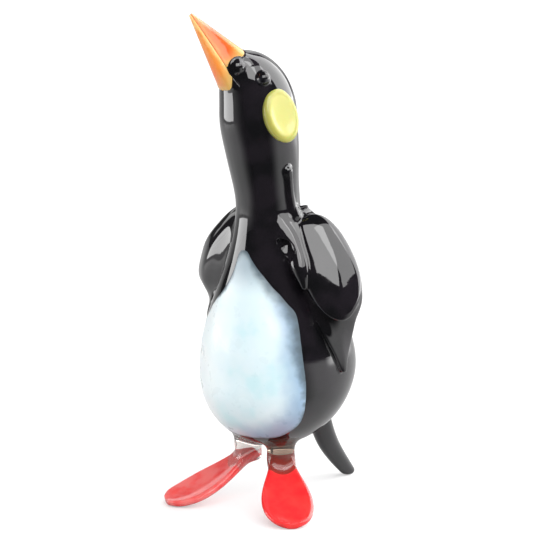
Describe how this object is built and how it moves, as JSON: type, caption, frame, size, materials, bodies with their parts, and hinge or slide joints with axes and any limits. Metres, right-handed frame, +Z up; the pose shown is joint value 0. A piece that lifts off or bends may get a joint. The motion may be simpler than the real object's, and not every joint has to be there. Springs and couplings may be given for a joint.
{
  "type": "penguin figurine",
  "caption": "Small solid glass penguin that looks upwards and stands on its toes and tail.",
  "frame": {"origin": "on the table, under the middle of the figure's box", "axes": "+Z up, the bird faces -Y and its own left side is +X"},
  "size_m": [0.0302, 0.0345, 0.0778],
  "materials": {
    "black_glass": "polished opaque black glass",
    "white_glass": "polished white opal glass with faint blue mottling",
    "red_glass": "polished red glass, nearly opaque",
    "orange_glass": "polished orange glass that pales to yellow at its edges",
    "yellow_glass": "polished opaque yellow glass",
    "amber_glass": "polished clear amber glass",
    "bead_glass": "polished black glass bead"
  },
  "bodies": {
    "root": {"body": "black_glass", "belly_panel": "white_glass", "left_wing": "black_glass", "right_wing": "black_glass", "tail": "black_glass", "left_leg": "amber_glass", "right_leg": "amber_glass", "left_foot": "red_glass", "right_foot": "red_glass", "upper_mandible": "orange_glass", "lower_mandible": "orange_glass", "left_eye": "bead_glass", "right_eye": "bead_glass", "left_cheek_patch": "yellow_glass", "right_cheek_patch": "yellow_glass"}
  },
  "joints": []
}
